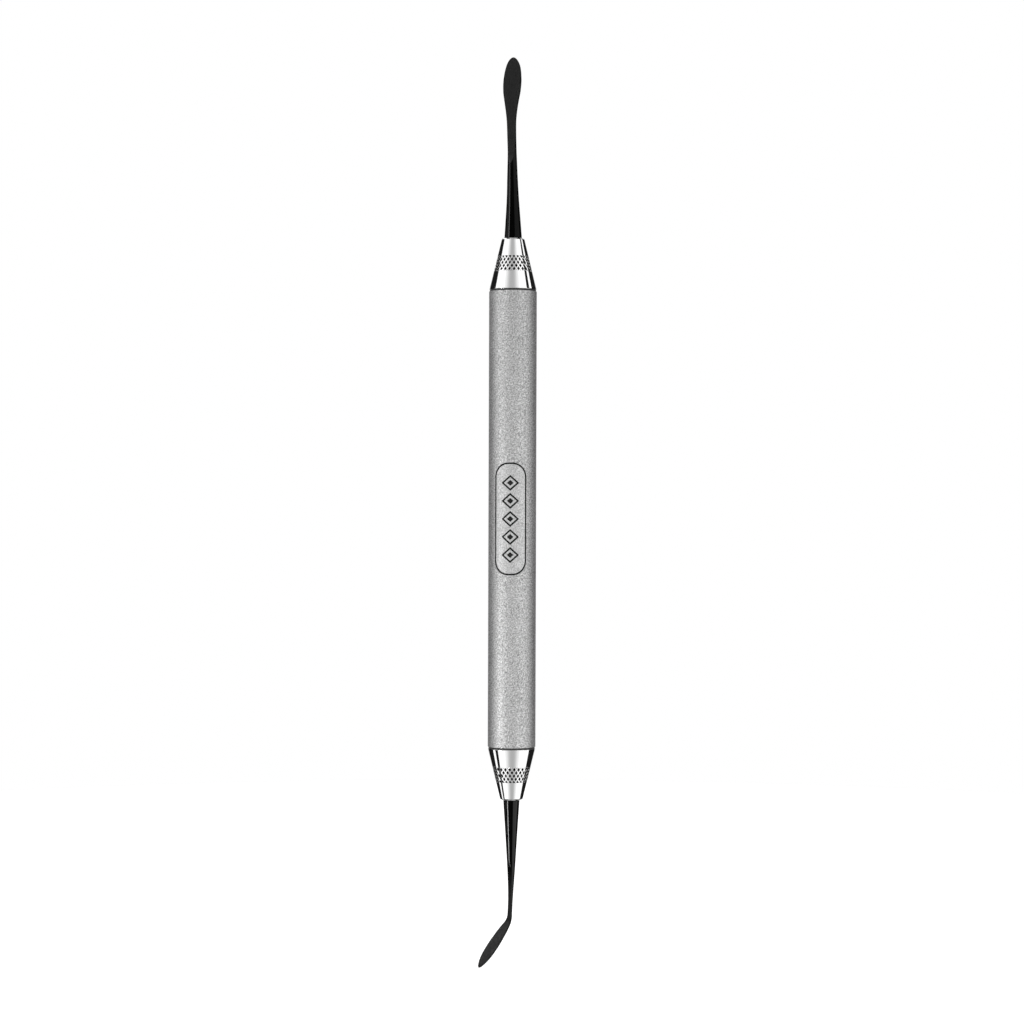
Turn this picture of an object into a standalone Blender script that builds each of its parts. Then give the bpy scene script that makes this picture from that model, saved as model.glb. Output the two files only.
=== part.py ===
"""Double-ended clay modelling tool: hollow steel handle, two screw-in knurled sockets, two black blades.

Frame: the handle's axis is Z, its middle is the origin, and the straight blade points to +Z.
The bent blade is at the -Z end and leans towards -X and -Y. All lengths are in metres.
"""

import math

import bmesh
import bpy
from mathutils import Matrix, Vector

# Handle tube
TUBE_RADIUS = 0.0048
TUBE_BORE_RADIUS = 0.0040
TUBE_HALF_LENGTH = 0.04577
TUBE_EDGE = 0.00008

# Engraved badge on the front of the handle: a frame, a row of lozenges and a dimple in each lozenge
BADGE_TURN = math.radians(-5.0)
BADGE_RISE = 0.00004
BADGE_WIDTH = 0.0068
BADGE_HEIGHT = 0.02254
BADGE_CORNER = 0.0030
GROOVE_WIDTH = 0.00034
GROOVE_DEPTH = 0.00008
LOZENGE_COUNT = 5
LOZENGE_PITCH = 0.0036
LOZENGE_WIDTH = 0.0036
LOZENGE_HEIGHT = 0.0032
DIMPLE_INSET = 0.00075

# Seal ring between the tube's end and the socket
SEAL_RADIUS = 0.00464
SEAL_HOLE_RADIUS = 0.00320
SEAL_BOTTOM = 0.04579
SEAL_TOP = 0.04610

# Threaded bush pressed into each end of the tube
BUSH_RADIUS = 0.00397
BUSH_BOTTOM = 0.0386
BUSH_TOP = 0.04567
BUSH_MOUTH_RADIUS = 0.00325
BUSH_THREAD_START = 0.0396
BUSH_CHAMFER = 0.0002

# Screw thread: six millimetres across, one millimetre pitch, right-handed
PITCH = 0.0010
THREAD_TURNS = 4
STUD_CREST_RADIUS = 0.00297
STUD_ROOT_RADIUS = 0.00243
BUSH_CREST_RADIUS = 0.00249
BUSH_ROOT_RADIUS = 0.00305
# Each profile is one ridge: height along the axis in pitches, and whether the point is on the crest
STUD_PROFILE = [(0.125, False), (0.4375, True), (0.5625, True), (0.875, False)]
BUSH_PROFILE = [(0.556, False), (0.88, True), (1.12, True), (1.444, False)]

# Conical socket that holds a blade's tang
SOCKET_BASE = 0.04612
SOCKET_TOP = 0.05646
SOCKET_BASE_RADIUS = 0.00475
SOCKET_NOSE_RADIUS = 0.00223
SOCKET_BASE_EDGE = 0.0003
SOCKET_NOSE_EDGE = 0.0003
STUD_BOTTOM = 0.0403
STUD_THREAD_START = 0.0406
STUD_CHAMFER = 0.0002
TANG_HOLE_RADIUS = 0.00125
TANG_HOLE_BOTTOM = 0.0473

# Diamond knurl cut round the socket: a lattice of ridges on the cone, with a pit in each diamond
KNURL_START = 0.04984
KNURL_END = 0.05272
KNURL_COLUMNS = 26
KNURL_HALF_ROWS = 5
KNURL_DEPTH = 0.00022
KNURL_MARGIN = 0.00012

# Blade tangs, the same at both ends
TANG_RADIUS = 0.0012
TANG_LENGTH = 0.0088
SHOULDER_GAP = 0.00002
SHOULDER_EDGE = 0.00012

# Blade outlines. Each station: distance from the socket's nose, half width, half thickness, sideways sway.
ROUND = 1.0
UPPER_STATIONS = [
    (0.0000, 0.00177, ROUND, 0.00000),
    (0.0033, 0.00154, ROUND, 0.00003),
    (0.0081, 0.00123, ROUND, 0.00010),
    (0.0130, 0.00104, ROUND, 0.00020),
    (0.0154, 0.00096, 0.00096, 0.00023),
    (0.0177, 0.00090, 0.00060, 0.00028),
    (0.0206, 0.00091, 0.00034, 0.00037),
    (0.0234, 0.00096, 0.00025, 0.00043),
    (0.0250, 0.00109, 0.00025, 0.00045),
    (0.0266, 0.00131, 0.00025, 0.00045),
    (0.0282, 0.00158, 0.00025, 0.00042),
    (0.0298, 0.00183, 0.00025, 0.00036),
    (0.0314, 0.00190, 0.00025, 0.00028),
    (0.0331, 0.00177, 0.00025, 0.00019),
    (0.0347, 0.00145, 0.00025, 0.00010),
    (0.0355, 0.00111, 0.00025, 0.00008),
    (0.0361, 0.00070, 0.00022, 0.00006),
    (0.0364, 0.00036, 0.00018, 0.00005),
    (0.03651, 0.00000, 0.00018, 0.00005),
]
UPPER_FACE_TURN = math.radians(22.0)

LOWER_STATIONS = [
    (0.0000, 0.00165, ROUND, 0.0),
    (0.0041, 0.00138, ROUND, 0.0),
    (0.0082, 0.00112, ROUND, 0.0),
    (0.0122, 0.00088, 0.00088, 0.0),
    (0.0162, 0.00065, 0.00049, 0.0),
    (0.0186, 0.00053, 0.00035, 0.0),
    (0.0210, 0.00047, 0.00029, 0.0),
    (0.0227, 0.00047, 0.00027, 0.0),
    (0.0236, 0.00052, 0.00025, 0.0),
    (0.0243, 0.00062, 0.00023, 0.0),
    (0.0252, 0.00083, 0.00021, 0.0),
    (0.0264, 0.00107, 0.00020, 0.0),
    (0.0284, 0.00129, 0.00020, 0.0),
    (0.0304, 0.00141, 0.00020, 0.0),
    (0.0324, 0.00135, 0.00020, 0.0),
    (0.0335, 0.00121, 0.00020, 0.0),
    (0.0345, 0.00097, 0.00020, 0.0),
    (0.0355, 0.00058, 0.00019, 0.0),
    (0.0360, 0.00033, 0.00016, 0.0),
    (0.0363, 0.00000, 0.00016, 0.0),
]
LOWER_FACE_TURN = math.radians(45.0)
# Bends of the lower blade: distance at which each starts, its radius, and its angle
LOWER_BENDS = [
    (0.0125, 0.1500, math.radians(4.0)),
    (0.0232, 0.0026, math.radians(41.0)),
]

# Mesh fineness
ROUND_SEGMENTS = 2 * KNURL_COLUMNS
THREAD_SEGMENTS = KNURL_COLUMNS
RIM_STEPS = 5
FLAT_STEPS = 7
BLADE_STEP = 0.0013
BADGE_CORNER_STEPS = 6
BADGE_SIDE_STEPS = 2
SMOOTH_ANGLE = math.radians(32.0)

# Finishes: base colour, metallic, roughness
SATIN_STEEL = ("satin_steel", (0.62, 0.62, 0.62), 1.0, 0.42)
POLISHED_STEEL = ("polished_steel", (0.80, 0.80, 0.80), 1.0, 0.12)
TURNED_STEEL = ("turned_steel", (0.66, 0.65, 0.63), 1.0, 0.30)
BLACK_COATING = ("black_coating", (0.025, 0.025, 0.027), 0.3, 0.32)
SEAL_RUBBER = ("seal_rubber", (0.02, 0.02, 0.02), 0.0, 0.70)


def clear_objects():
    """Take every object out of the file."""
    for old in list(bpy.data.objects):
        bpy.data.objects.remove(old, do_unlink=True)


def finish_material(node_name, finish):
    """Make the Principled material of one sub-part."""
    label, colour, metallic, roughness = finish
    material = bpy.data.materials.new(f"{node_name}_{label}")
    material.use_nodes = True
    shader = material.node_tree.nodes["Principled BSDF"]
    shader.inputs["Base Color"].default_value = (*colour, 1.0)
    shader.inputs["Metallic"].default_value = metallic
    shader.inputs["Roughness"].default_value = roughness
    material.diffuse_color = (*colour, 1.0)
    return material


class Shell:
    """A closed surface built up ring by ring."""

    def __init__(self):
        self.mesh = bmesh.new()

    def ring(self, points):
        """Add a ring of vertices and return it."""
        return [self.mesh.verts.new(point) for point in points]

    def circle(self, radius, height, count=ROUND_SEGMENTS):
        """Add a level ring round the Z axis."""
        return self.ring(circle_points(radius, height, count))

    def face(self, corners):
        """Add one face."""
        self.mesh.faces.new(corners)

    def bridge(self, ring_a, ring_b):
        """Join two rings, which may differ in count by a factor of two."""
        if len(ring_a) == 2 * len(ring_b):
            self.bridge_fine_to_coarse(ring_a, ring_b)
        elif len(ring_b) == 2 * len(ring_a):
            self.bridge_fine_to_coarse(ring_b, ring_a)
        else:
            for i in range(len(ring_a)):
                j = (i + 1) % len(ring_a)
                self.face([ring_a[i], ring_a[j], ring_b[j], ring_b[i]])

    def bridge_fine_to_coarse(self, fine, coarse):
        """Join a ring to one with half as many vertices."""
        for i in range(len(coarse)):
            j = (i + 1) % len(coarse)
            middle = fine[2 * i + 1]
            self.face([fine[2 * i], middle, coarse[i]])
            self.face([middle, coarse[j], coarse[i]])
            self.face([middle, fine[(2 * i + 2) % len(fine)], coarse[j]])

    def close(self, ring):
        """Cover a ring with one flat face."""
        self.face(ring)

    def close_to_point(self, ring, point):
        """Cover a ring with a fan that meets at one point."""
        apex = self.mesh.verts.new(point)
        for i in range(len(ring)):
            self.face([ring[i], ring[(i + 1) % len(ring)], apex])

    def build(self, name, finish, matrix=None):
        """Turn the surface into a named, smooth-shaded object."""
        bmesh.ops.recalc_face_normals(self.mesh, faces=self.mesh.faces[:])
        data = bpy.data.meshes.new(name)
        self.mesh.to_mesh(data)
        self.mesh.free()
        data.shade_smooth()
        data.set_sharp_from_angle(angle=SMOOTH_ANGLE)
        data.materials.append(finish_material(name, finish))
        made = bpy.data.objects.new(name, data)
        if matrix is not None:
            made.matrix_world = matrix
        bpy.context.scene.collection.objects.link(made)
        return made


def circle_points(radius, height, count):
    """Points evenly spaced round the Z axis, starting on +X."""
    points = []
    for i in range(count):
        angle = 2.0 * math.pi * i / count
        points.append(Vector((radius * math.cos(angle), radius * math.sin(angle), height)))
    return points


def screw_thread(shell, start, profile, root_radius, crest_radius):
    """Add a right-handed helical ridge.

    Returns the level rings at its foot and head, both at the root radius.
    """
    count = THREAD_SEGMENTS
    steps = THREAD_TURNS * count
    last = len(profile)

    def helix_point(step, k):
        height, on_crest = profile[k]
        radius = crest_radius if on_crest else root_radius
        angle = 2.0 * math.pi * step / count
        rise = start + PITCH * (step / count + height)
        return Vector((radius * math.cos(angle), radius * math.sin(angle), rise))

    grid = {}
    for step in range(steps + count + 1):
        grid[step, 0] = shell.mesh.verts.new(helix_point(step, 0))
    for step in range(steps + 1):
        for k in range(1, last):
            grid[step, k] = shell.mesh.verts.new(helix_point(step, k))
        grid[step, last] = grid[step + count, 0]
    for step in range(steps):
        for k in range(last):
            shell.face([grid[step, k], grid[step + 1, k], grid[step + 1, k + 1], grid[step, k + 1]])

    foot_height = start + PITCH * (profile[0][0] - 0.12)
    head_height = start + PITCH * (THREAD_TURNS + 1 + profile[0][0] + 0.12)
    foot = shell.circle(root_radius, foot_height, count)
    head = shell.circle(root_radius, head_height, count)
    for i in range(1, count):
        j = (i + 1) % count
        shell.face([grid[steps + i, 0], grid[steps + i + 1, 0], head[j], head[i]])
    for i in range(count - 1):
        shell.face([foot[i], foot[i + 1], grid[i + 1, 0], grid[i, 0]])
    # Where the ridge starts and ends, one face also runs past its blunt end
    shell.face([foot[-1], foot[0], grid[0, 0], grid[count, 0], grid[count - 1, 0]])
    shell.face([grid[steps, 0], grid[steps + 1, 0], head[1], head[0], grid[steps + count, 0]])
    shell.face([grid[0, k] for k in range(last + 1)])
    shell.face([grid[steps, k] for k in range(last + 1)])
    return foot, head


def lathe(shell, profile, first_ring=None):
    """Add rings for (radius, height, count) rows, each joined to the one before. Returns the last ring."""
    previous = first_ring
    for radius, height, count in profile:
        current = shell.circle(radius, height, count)
        if previous is not None:
            shell.bridge(previous, current)
        previous = current
    return previous


def ring_of_revolution(name, finish, profile, matrix=None):
    """Make a closed solid by turning a loop of (radius, height) corners round the Z axis."""
    shell = Shell()
    rings = [shell.circle(radius, height) for radius, height in profile]
    for i in range(len(rings)):
        shell.bridge(rings[i], rings[(i + 1) % len(rings)])
    return shell.build(name, finish, matrix)


def wrap_on_handle(across, along, radius):
    """Place a point of the flat badge drawing on a cylinder round the handle's axis, facing -Y."""
    angle = across / TUBE_RADIUS + BADGE_TURN
    return Vector((radius * math.sin(angle), -radius * math.cos(angle), along + BADGE_RISE))


def add_groove(shell, inner, outer):
    """Add the solid of one closed groove, from its inner and outer outlines on the flat drawing."""
    floor = TUBE_RADIUS - GROOVE_DEPTH
    above = TUBE_RADIUS + GROOVE_DEPTH
    corners = [(inner, floor), (outer, floor), (outer, above), (inner, above)]
    loops = []
    for outline, radius in corners:
        loops.append(shell.ring([wrap_on_handle(across, along, radius) for across, along in outline]))
    for i in range(4):
        shell.bridge(loops[i], loops[(i + 1) % 4])


def add_dimple(shell, outline):
    """Add the solid of one shallow dimple, from its outline on the flat drawing."""
    floor = TUBE_RADIUS - GROOVE_DEPTH
    above = TUBE_RADIUS + GROOVE_DEPTH
    bottom = shell.ring([wrap_on_handle(across, along, floor) for across, along in outline])
    top = shell.ring([wrap_on_handle(across, along, above) for across, along in outline])
    shell.bridge(bottom, top)
    shell.close(bottom)
    shell.close(top)


def badge_outline(inset):
    """Outline of the badge frame, moved inwards by the inset, as points on the flat drawing."""
    half_width = BADGE_WIDTH / 2.0
    half_height = BADGE_HEIGHT / 2.0
    radius = BADGE_CORNER - inset
    points = []
    for quarter in range(4):
        start = math.pi / 2.0 * quarter
        side = 1.0 if quarter in (0, 3) else -1.0
        end = 1.0 if quarter in (0, 1) else -1.0
        centre_across = side * (half_width - BADGE_CORNER)
        centre_along = end * (half_height - BADGE_CORNER)
        for i in range(BADGE_CORNER_STEPS + 1):
            angle = start + math.pi / 2.0 * i / BADGE_CORNER_STEPS
            across = centre_across + radius * math.cos(angle)
            along = centre_along + radius * math.sin(angle)
            points.append((across, along))
    return points


def lozenge_outline(centre, inset):
    """Outline of one lozenge, moved inwards by the inset, with a point in the middle of each side."""
    shrink = inset * math.hypot(LOZENGE_WIDTH, LOZENGE_HEIGHT)
    half_width = LOZENGE_WIDTH / 2.0 - shrink / LOZENGE_HEIGHT
    half_height = LOZENGE_HEIGHT / 2.0 - shrink / LOZENGE_WIDTH
    corners = [(half_width, 0.0), (0.0, half_height), (-half_width, 0.0), (0.0, -half_height)]
    points = []
    for i in range(4):
        here = corners[i]
        there = corners[(i + 1) % 4]
        for part in range(BADGE_SIDE_STEPS):
            share = part / BADGE_SIDE_STEPS
            across = here[0] + (there[0] - here[0]) * share
            along = here[1] + (there[1] - here[1]) * share
            points.append((across, centre + along))
    return points


def badge_cutter():
    """Make the cutter for the badge: its frame and the row of dimpled lozenges."""
    shell = Shell()
    add_groove(shell, badge_outline(GROOVE_WIDTH), badge_outline(0.0))
    for i in range(LOZENGE_COUNT):
        centre = (i - (LOZENGE_COUNT - 1) / 2.0) * LOZENGE_PITCH
        add_groove(shell, lozenge_outline(centre, GROOVE_WIDTH), lozenge_outline(centre, 0.0))
        add_dimple(shell, lozenge_outline(centre, DIMPLE_INSET))
    cutter = shell.build("badge_cutter", SATIN_STEEL)
    cutter.display_type = "WIRE"
    cutter.hide_render = True
    return cutter


def handle_tube():
    """Long hollow grip with the engraved badge on its front."""
    end = TUBE_HALF_LENGTH
    profile = [
        (TUBE_RADIUS, -end + TUBE_EDGE),
        (TUBE_RADIUS, -BADGE_HEIGHT),
        (TUBE_RADIUS, BADGE_HEIGHT),
        (TUBE_RADIUS, end - TUBE_EDGE),
        (TUBE_RADIUS - TUBE_EDGE, end),
        (TUBE_BORE_RADIUS, end),
        (TUBE_BORE_RADIUS, -end),
        (TUBE_RADIUS - TUBE_EDGE, -end),
    ]
    tube = ring_of_revolution("handle_tube", SATIN_STEEL, profile)
    engraving = tube.modifiers.new("engraving", "BOOLEAN")
    engraving.operation = "DIFFERENCE"
    engraving.solver = "EXACT"
    engraving.object = badge_cutter()
    return tube


def end_bush(name, matrix):
    """Threaded bush inside one end of the tube."""
    shell = Shell()
    foot, head = screw_thread(shell, BUSH_THREAD_START, BUSH_PROFILE, BUSH_ROOT_RADIUS, BUSH_CREST_RADIUS)
    inner_end = lathe(shell, [(BUSH_ROOT_RADIUS, BUSH_BOTTOM, THREAD_SEGMENTS)], foot)
    outside = [
        (BUSH_RADIUS - BUSH_CHAMFER, BUSH_BOTTOM, ROUND_SEGMENTS),
        (BUSH_RADIUS, BUSH_BOTTOM + BUSH_CHAMFER, ROUND_SEGMENTS),
        (BUSH_RADIUS, BUSH_TOP - BUSH_CHAMFER, ROUND_SEGMENTS),
        (BUSH_RADIUS - BUSH_CHAMFER, BUSH_TOP, ROUND_SEGMENTS),
        (BUSH_MOUTH_RADIUS, BUSH_TOP, THREAD_SEGMENTS),
        (BUSH_ROOT_RADIUS, BUSH_TOP - (BUSH_MOUTH_RADIUS - BUSH_ROOT_RADIUS), THREAD_SEGMENTS),
    ]
    mouth = lathe(shell, outside, inner_end)
    shell.bridge(mouth, head)
    return shell.build(name, TURNED_STEEL, matrix)


def seal_ring(name, matrix):
    """Flat black ring nipped between the tube's end and the socket."""
    profile = [
        (SEAL_HOLE_RADIUS, SEAL_BOTTOM),
        (SEAL_RADIUS, SEAL_BOTTOM),
        (SEAL_RADIUS, SEAL_TOP),
        (SEAL_HOLE_RADIUS, SEAL_TOP),
    ]
    return ring_of_revolution(name, SEAL_RUBBER, profile, matrix)


def socket_radius(height):
    """Radius of the socket's plain cone at one height."""
    share = (height - SOCKET_BASE) / (SOCKET_TOP - SOCKET_BASE)
    return SOCKET_BASE_RADIUS + (SOCKET_NOSE_RADIUS - SOCKET_BASE_RADIUS) * share


def knurl(shell, first_ring):
    """Add the diamond knurl above a ring on the cone and return its last ring."""
    previous = first_ring
    for row in range(KNURL_HALF_ROWS + 1):
        height = KNURL_START + (KNURL_END - KNURL_START) * row / KNURL_HALF_ROWS
        points = []
        for column in range(ROUND_SEGMENTS):
            is_root = (row + column) % 2 == 0
            radius = socket_radius(height) - (KNURL_DEPTH if is_root else 0.0)
            angle = 2.0 * math.pi * column / ROUND_SEGMENTS
            points.append(Vector((radius * math.cos(angle), radius * math.sin(angle), height)))
        current = shell.ring(points)
        if row == 0:
            shell.bridge(previous, current)
        else:
            for i in range(ROUND_SEGMENTS):
                j = (i + 1) % ROUND_SEGMENTS
                crest_first = (row - 1 + i) % 2 == 1
                if crest_first:
                    shell.face([previous[i], previous[j], current[j]])
                    shell.face([previous[i], current[j], current[i]])
                else:
                    shell.face([previous[i], previous[j], current[i]])
                    shell.face([previous[j], current[j], current[i]])
        previous = current
    return previous


def cone_socket(name, matrix):
    """Knurled cone with a threaded stud at its base and a hole for the tang in its nose."""
    shell = Shell()
    foot, head = screw_thread(shell, STUD_THREAD_START, STUD_PROFILE, STUD_ROOT_RADIUS, STUD_CREST_RADIUS)
    stud_end = [
        (STUD_ROOT_RADIUS, STUD_BOTTOM + STUD_CHAMFER, THREAD_SEGMENTS),
        (STUD_ROOT_RADIUS - STUD_CHAMFER, STUD_BOTTOM, THREAD_SEGMENTS),
    ]
    shell.close(lathe(shell, stud_end, foot))

    rise = SOCKET_BASE + SOCKET_BASE_EDGE
    below_knurl = KNURL_START - KNURL_MARGIN
    above_knurl = KNURL_END + KNURL_MARGIN
    nose_start = SOCKET_TOP - SOCKET_NOSE_EDGE
    edge_diagonal = SOCKET_BASE_EDGE * (1.0 - math.sqrt(0.5))
    base = [
        (STUD_ROOT_RADIUS, SOCKET_BASE, THREAD_SEGMENTS),
        (SOCKET_BASE_RADIUS - SOCKET_BASE_EDGE, SOCKET_BASE, ROUND_SEGMENTS),
        (SOCKET_BASE_RADIUS - edge_diagonal, SOCKET_BASE + edge_diagonal, ROUND_SEGMENTS),
        (socket_radius(rise), rise, ROUND_SEGMENTS),
        (socket_radius(below_knurl), below_knurl, ROUND_SEGMENTS),
    ]
    knurl_end = knurl(shell, lathe(shell, base, head))
    nose = [
        (socket_radius(above_knurl), above_knurl, ROUND_SEGMENTS),
        (socket_radius(nose_start), nose_start, ROUND_SEGMENTS),
        (socket_radius(nose_start) - SOCKET_NOSE_EDGE, SOCKET_TOP, ROUND_SEGMENTS),
        (TANG_HOLE_RADIUS, SOCKET_TOP, THREAD_SEGMENTS),
        (TANG_HOLE_RADIUS, TANG_HOLE_BOTTOM, THREAD_SEGMENTS),
    ]
    shell.close(lathe(shell, nose, knurl_end))
    return shell.build(name, POLISHED_STEEL, matrix)


def smooth_value(stations, column, distance):
    """Value of one column at a distance, on a smooth curve through the stations that never overshoots."""
    last = len(stations) - 2
    i = 0
    while i < last and distance > stations[i + 1][0]:
        i += 1

    def slope_between(k):
        return (stations[k + 1][column] - stations[k][column]) / (stations[k + 1][0] - stations[k][0])

    def slope_at(k):
        if k == 0:
            return slope_between(0)
        if k == len(stations) - 1:
            return slope_between(k - 1)
        before = slope_between(k - 1)
        after = slope_between(k)
        if before * after <= 0.0:
            return 0.0
        return 2.0 * before * after / (before + after)

    width = stations[i + 1][0] - stations[i][0]
    t = (distance - stations[i][0]) / width
    start = stations[i][column]
    end = stations[i + 1][column]
    start_part = (1.0 + 2.0 * t) * (1.0 - t) ** 2 * start + t * (1.0 - t) ** 2 * width * slope_at(i)
    end_part = t * t * (3.0 - 2.0 * t) * end + t * t * (t - 1.0) * width * slope_at(i + 1)
    return start_part + end_part


def blade_section(half_width, half_thickness):
    """Outline of a blade's cross-section: a circle with two flats, the same number of points everywhere."""
    steepest = math.sin(math.radians(60.0))
    rim = math.asin(min(half_thickness / half_width, steepest))
    flat_reach = half_width * math.cos(rim)
    points = []
    for side in (1.0, -1.0):
        for i in range(RIM_STEPS + 1):
            angle = -rim + 2.0 * rim * i / RIM_STEPS
            points.append((side * half_width * math.cos(angle), side * half_width * math.sin(angle)))
        for i in range(1, FLAT_STEPS):
            across = side * flat_reach * (1.0 - 2.0 * i / FLAT_STEPS)
            arc = math.sqrt(half_width * half_width - across * across)
            points.append((across, side * min(half_thickness, arc)))
    return points


def straight_path(distance):
    """Centre and axes (width, face, along) of a blade with no bend."""
    return Vector((0.0, 0.0, distance)), Vector((1, 0, 0)), Vector((0, 1, 0))


def bent_path(distance):
    """Centre and axes of the bent blade, which turns towards its face at each of its bends."""
    centre = Vector((0.0, 0.0, 0.0))
    angle = 0.0
    travelled = 0.0
    for start, radius, turn in LOWER_BENDS:
        straight = min(distance, start) - travelled
        centre += straight * Vector((0.0, math.sin(angle), math.cos(angle)))
        turned = min(max(distance - start, 0.0) / radius, turn)
        rise = math.sin(angle + turned) - math.sin(angle)
        centre += radius * Vector((0.0, math.cos(angle) - math.cos(angle + turned), rise))
        angle += turned
        travelled = min(distance, start + radius * turn)
    centre += (distance - travelled) * Vector((0.0, math.sin(angle), math.cos(angle)))
    face = Vector((0.0, math.cos(angle), -math.sin(angle)))
    return centre, Vector((1, 0, 0)), face


def blade_distances(stations):
    """Distances at which the blade gets a ring: even steps, with every station kept near its point."""
    distances = []
    for here, there in zip(stations, stations[1:]):
        steps = max(1, round((there[0] - here[0]) / BLADE_STEP))
        for i in range(steps):
            distances.append(here[0] + (there[0] - here[0]) * i / steps)
    return distances


def blade_tip(name, stations, path, matrix):
    """One blade with its shank and its round tang, built along +Z from the socket's nose and then placed."""
    shell = Shell()

    def placed_ring(distance, half_width, half_thickness, sway):
        centre, across, face = path(distance)
        outline = blade_section(half_width, half_thickness)
        return shell.ring([centre + across * (u + sway) + face * v for u, v in outline])

    root_radius = stations[0][1]
    shoulder = SHOULDER_GAP
    lead_in = 2.0 * SHOULDER_EDGE
    rings = [
        placed_ring(-TANG_LENGTH, TANG_RADIUS - lead_in, ROUND, 0.0),
        placed_ring(-TANG_LENGTH + lead_in, TANG_RADIUS, ROUND, 0.0),
        placed_ring(shoulder, TANG_RADIUS, ROUND, 0.0),
        placed_ring(shoulder, root_radius - SHOULDER_EDGE, ROUND, 0.0),
    ]
    for distance in blade_distances(stations):
        distance = max(distance, shoulder + SHOULDER_EDGE)
        half_width = smooth_value(stations, 1, distance)
        half_thickness = smooth_value(stations, 2, distance)
        sway = smooth_value(stations, 3, distance)
        rings.append(placed_ring(distance, half_width, half_thickness, sway))
    for ring_a, ring_b in zip(rings, rings[1:]):
        shell.bridge(ring_a, ring_b)
    shell.close(rings[0])
    centre, across, _face = path(stations[-1][0])
    shell.close_to_point(rings[-1], centre + across * stations[-1][3])
    return shell.build(name, BLACK_COATING, matrix)


def tip_placement(outward, turn):
    """Matrix that puts a blade on the socket's nose with its face turned from -Y towards -X."""
    along = Vector((0.0, 0.0, outward))
    face = Vector((-math.sin(turn), -math.cos(turn), 0.0))
    across = face.cross(along)
    axes = Matrix((across, face, along)).transposed().to_4x4()
    return Matrix.Translation((0.0, 0.0, outward * SOCKET_TOP)) @ axes


def main():
    """Build the nine pieces."""
    clear_objects()
    up = Matrix.Identity(4)
    down = Matrix.Rotation(math.pi, 4, "Y")
    handle_tube()
    for end_name, matrix in (("upper", up), ("lower", down)):
        end_bush(f"{end_name}_end_bush", matrix)
        seal_ring(f"{end_name}_seal_ring", matrix)
        cone_socket(f"{end_name}_cone_socket", matrix)
    blade_tip("upper_tip", UPPER_STATIONS, straight_path, tip_placement(1.0, UPPER_FACE_TURN))
    blade_tip("lower_tip", LOWER_STATIONS, bent_path, tip_placement(-1.0, LOWER_FACE_TURN))


main()
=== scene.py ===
"""Detailed visual model of the double-ended clay modelling tool, with its light, floor and camera.

It builds a finer, fully finished piece for each CAD node, with the CAD model's own dimensions.
Frame: the handle's axis is Z, its middle is the origin, and the straight blade points to +Z.
Azimuth 0 is the -Y side, where the camera stands. Lengths are in metres.
"""

import math

import bmesh
import bpy
from mathutils import Matrix, Vector


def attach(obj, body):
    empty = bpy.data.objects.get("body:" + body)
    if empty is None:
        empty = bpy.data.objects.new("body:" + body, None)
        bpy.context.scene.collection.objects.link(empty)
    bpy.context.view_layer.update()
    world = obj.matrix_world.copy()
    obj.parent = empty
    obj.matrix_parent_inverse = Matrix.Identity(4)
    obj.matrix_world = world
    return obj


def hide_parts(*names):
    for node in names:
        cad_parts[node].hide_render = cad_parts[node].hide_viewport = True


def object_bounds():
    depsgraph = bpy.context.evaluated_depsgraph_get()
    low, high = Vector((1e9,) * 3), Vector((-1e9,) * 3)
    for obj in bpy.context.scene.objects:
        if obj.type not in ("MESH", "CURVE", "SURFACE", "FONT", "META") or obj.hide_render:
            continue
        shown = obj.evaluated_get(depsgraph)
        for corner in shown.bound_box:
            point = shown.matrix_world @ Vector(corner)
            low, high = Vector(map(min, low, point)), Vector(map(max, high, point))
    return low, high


# Handle tube
TUBE_RADIUS = 0.0048
TUBE_BORE_RADIUS = 0.0040
TUBE_HALF_LENGTH = 0.04577
TUBE_EDGE = 0.00008

# Engraved badge on the front of the handle: a frame, a row of lozenges and a dimple in each lozenge
BADGE_TURN = math.radians(-5.0)
BADGE_RISE = 0.00004
BADGE_WIDTH = 0.0068
BADGE_HEIGHT = 0.02254
BADGE_CORNER = 0.0030
GROOVE_WIDTH = 0.00034
GROOVE_DEPTH = 0.00008
LOZENGE_COUNT = 5
LOZENGE_PITCH = 0.0036
LOZENGE_WIDTH = 0.0036
LOZENGE_HEIGHT = 0.0032
DIMPLE_INSET = 0.00075

# Seal ring between the tube's end and the socket
SEAL_RADIUS = 0.00464
SEAL_HOLE_RADIUS = 0.00320
SEAL_BOTTOM = 0.04579
SEAL_TOP = 0.04610
SEAL_EDGE = 0.00006

# Threaded bush pressed into each end of the tube
BUSH_RADIUS = 0.00397
BUSH_BOTTOM = 0.0386
BUSH_TOP = 0.04567
BUSH_MOUTH_RADIUS = 0.00325
BUSH_THREAD_START = 0.0396
BUSH_CHAMFER = 0.0002

# Screw thread: six millimetres across, one millimetre pitch, right-handed
PITCH = 0.0010
THREAD_TURNS = 4
STUD_CREST_RADIUS = 0.00297
STUD_ROOT_RADIUS = 0.00243
BUSH_CREST_RADIUS = 0.00249
BUSH_ROOT_RADIUS = 0.00305
# Each profile is one ridge: height along the axis in pitches, and whether the point is on the crest
STUD_PROFILE = [(0.125, False), (0.4375, True), (0.5625, True), (0.875, False)]
BUSH_PROFILE = [(0.556, False), (0.88, True), (1.12, True), (1.444, False)]
# Plain band left beyond each end of the ridge, in pitches
THREAD_MARGIN = 0.12

# Conical socket that holds a blade's tang
SOCKET_BASE = 0.04612
SOCKET_TOP = 0.05646
SOCKET_BASE_RADIUS = 0.00475
SOCKET_NOSE_RADIUS = 0.00223
SOCKET_BASE_EDGE = 0.0001
SOCKET_NOSE_EDGE = 0.0003
STUD_BOTTOM = 0.0403
STUD_THREAD_START = 0.0406
STUD_CHAMFER = 0.0002
TANG_HOLE_RADIUS = 0.00125
TANG_HOLE_BOTTOM = 0.0473

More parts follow.
